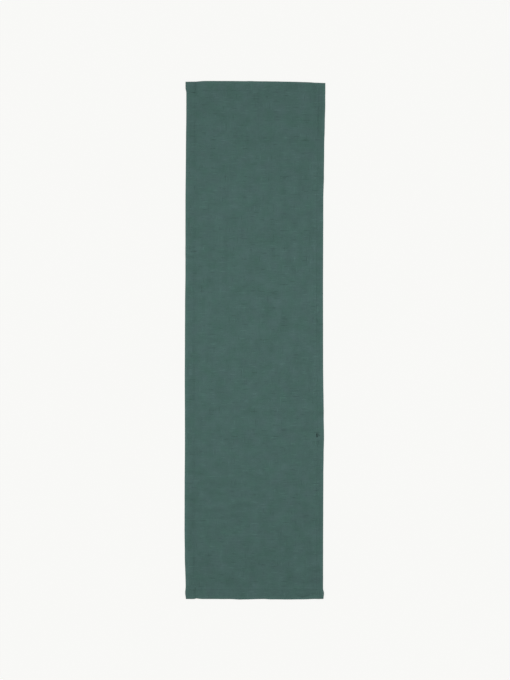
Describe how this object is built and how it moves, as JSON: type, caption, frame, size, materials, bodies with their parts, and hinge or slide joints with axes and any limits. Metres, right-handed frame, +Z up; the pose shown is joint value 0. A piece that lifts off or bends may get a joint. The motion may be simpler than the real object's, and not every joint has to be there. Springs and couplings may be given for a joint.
{
  "type": "table runner",
  "caption": "Long narrow linen table runner with double-turned hems, laid flat along a table, with a blank care label under its right hem.",
  "frame": {"origin": "on the table, under the middle of the flat-lying runner", "axes": "+Y along the runner to its far end, +X across it to the hem that holds the care label, +Z up through the face of the cloth"},
  "size_m": [0.4, 1.5, 0.0064],
  "materials": {
    "linen": "washed plain-weave linen, matt, deep grey-green teal",
    "sewing_thread": "matched spun polyester sewing thread",
    "label_tape": "blank off-white satin woven tape"
  },
  "bodies": {
    "sewn_cloth": {"linen_cloth": "linen", "left_hem_needle_thread": "sewing_thread", "left_hem_bobbin_thread": "sewing_thread", "right_hem_needle_thread": "sewing_thread", "right_hem_bobbin_thread": "sewing_thread", "far_hem_needle_thread": "sewing_thread", "far_hem_bobbin_thread": "sewing_thread", "near_hem_needle_thread": "sewing_thread", "near_hem_bobbin_thread": "sewing_thread", "label_bar_tack": "sewing_thread"},
    "label_flap": {"care_label": "label_tape"}
  },
  "joints": [
    {"name": "label_swing", "type": "hinge", "parent": "sewn_cloth", "child": "label_flap", "pos_m": [0.179, -0.275, 0.00013], "axis": [0, -1, 0], "range_deg": [0, 165]}
  ]
}
